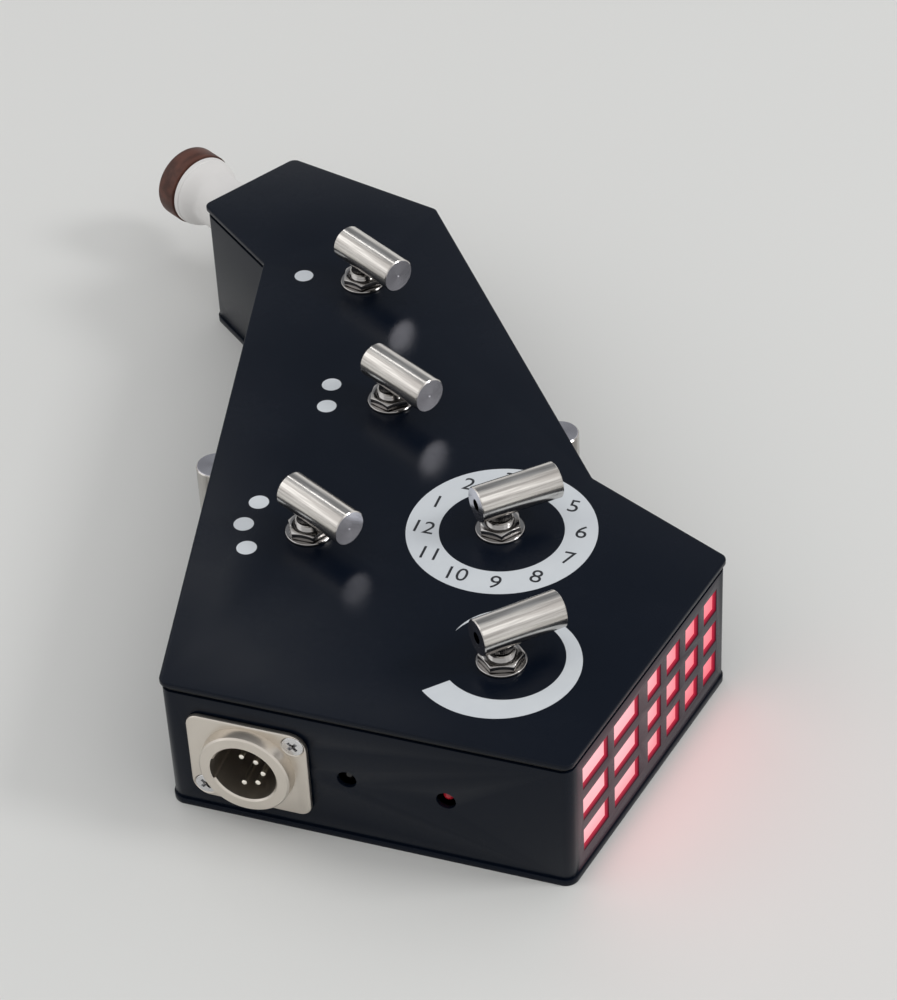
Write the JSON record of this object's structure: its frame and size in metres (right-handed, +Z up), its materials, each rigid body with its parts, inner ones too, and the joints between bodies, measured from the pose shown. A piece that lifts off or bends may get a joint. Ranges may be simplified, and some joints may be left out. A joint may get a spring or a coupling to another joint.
{
  "type": "handheld synthesizer",
  "caption": "Flat eight-sided handheld synthesizer with bar knobs, a lit pierced side wall, a chassis connector and a flared mouthpiece.",
  "frame": {"origin": "on the underside of the base plate, at a point near its middle, 20 mm right of and 110 mm behind the front left corner", "axes": "+Z up through the panel, -Y out of the front wall that carries the connector, +X towards the lit wall"},
  "size_m": [0.2098, 0.2371, 0.0554],
  "materials": {
    "housing_metal": "satin black, faintly blue",
    "seal_rubber": "matt",
    "hardware_steel": "bright plated",
    "turned_aluminium": "fine turned, clear",
    "connector_metal": "satin nickel plate",
    "contact_metal": "gold plated",
    "black_plastic": "moulded",
    "lit_acrylic": "opal acrylic lit from behind",
    "red_lens": "clear red lens",
    "green_board": "solder mask",
    "white_board": "solder mask",
    "cup_satin": "satin, off-white",
    "ring_wood": "oiled dark wood"
  },
  "bodies": {
    "housing": {"bottom_plate": "housing_metal", "wall_frame": "housing_metal", "top_seal": "seal_rubber", "top_panel": "housing_metal", "main_board": "green_board", "light_board": "white_board", "diffuser": "lit_acrylic", "front_pillar": "hardware_steel", "front_base_screw": "hardware_steel", "shoulder_pillar": "hardware_steel", "shoulder_base_screw": "hardware_steel", "tail_pillar": "hardware_steel", "tail_base_screw": "hardware_steel", "notch_pillar": "hardware_steel", "notch_base_screw": "hardware_steel", "left_pillar": "hardware_steel", "left_base_screw": "hardware_steel", "one_dot_potentiometer": "hardware_steel", "one_dot_washer": "hardware_steel", "one_dot_nut": "hardware_steel", "two_dot_potentiometer": "hardware_steel", "two_dot_washer": "hardware_steel", "two_dot_nut": "hardware_steel", "three_dot_potentiometer": "hardware_steel", "three_dot_washer": "hardware_steel", "three_dot_nut": "hardware_steel", "selector_switch": "hardware_steel", "selector_washer": "hardware_steel", "selector_nut": "hardware_steel", "level_potentiometer": "hardware_steel", "level_washer": "hardware_steel", "level_nut": "hardware_steel", "connector_shell": "connector_metal", "connector_insert": "black_plastic", "connector_screw_1": "hardware_steel", "connector_screw_2": "hardware_steel", "connector_contact_1": "contact_metal", "connector_contact_2": "contact_metal", "connector_contact_3": "contact_metal", "connector_contact_4": "contact_metal", "connector_contact_5": "contact_metal", "left_indicator": "red_lens", "right_indicator": "red_lens", "left_touch_grip": "turned_aluminium", "right_touch_grip": "turned_aluminium", "mouthpiece_cup": "cup_satin", "mouthpiece_ring": "ring_wood", "mouthpiece_nut": "hardware_steel", "microphone_capsule": "hardware_steel"},
    "one_dot_control": {"one_dot_knob": "turned_aluminium", "one_dot_shaft": "hardware_steel"},
    "two_dot_control": {"two_dot_knob": "turned_aluminium", "two_dot_shaft": "hardware_steel"},
    "three_dot_control": {"three_dot_knob": "turned_aluminium", "three_dot_shaft": "hardware_steel"},
    "selector_control": {"selector_knob": "turned_aluminium", "selector_shaft": "hardware_steel"},
    "level_control": {"level_knob": "turned_aluminium", "level_shaft": "hardware_steel"}
  },
  "joints": [
    {"name": "one_dot_turn", "type": "hinge", "parent": "housing", "child": "one_dot_control", "pos_m": [-0.02774, 0.0566, 0.0404], "axis": [0, 0, 1], "range_deg": [-106, 182]},
    {"name": "two_dot_turn", "type": "hinge", "parent": "housing", "child": "two_dot_control", "pos_m": [-0.00245, 0.00841, 0.0404], "axis": [0, 0, 1], "range_deg": [-106, 182]},
    {"name": "three_dot_turn", "type": "hinge", "parent": "housing", "child": "three_dot_control", "pos_m": [-0.0044, -0.0476, 0.0404], "axis": [0, 0, 1], "range_deg": [-107, 181]},
    {"name": "selector_turn", "type": "hinge", "parent": "housing", "child": "selector_control", "pos_m": [0.0415, -0.0336, 0.0404], "axis": [0, 0, 1], "range_deg": [-210, 120]},
    {"name": "level_turn", "type": "hinge", "parent": "housing", "child": "level_control", "pos_m": [0.057, -0.08, 0.0404], "axis": [0, 0, 1], "range_deg": [-180, 108]}
  ]
}
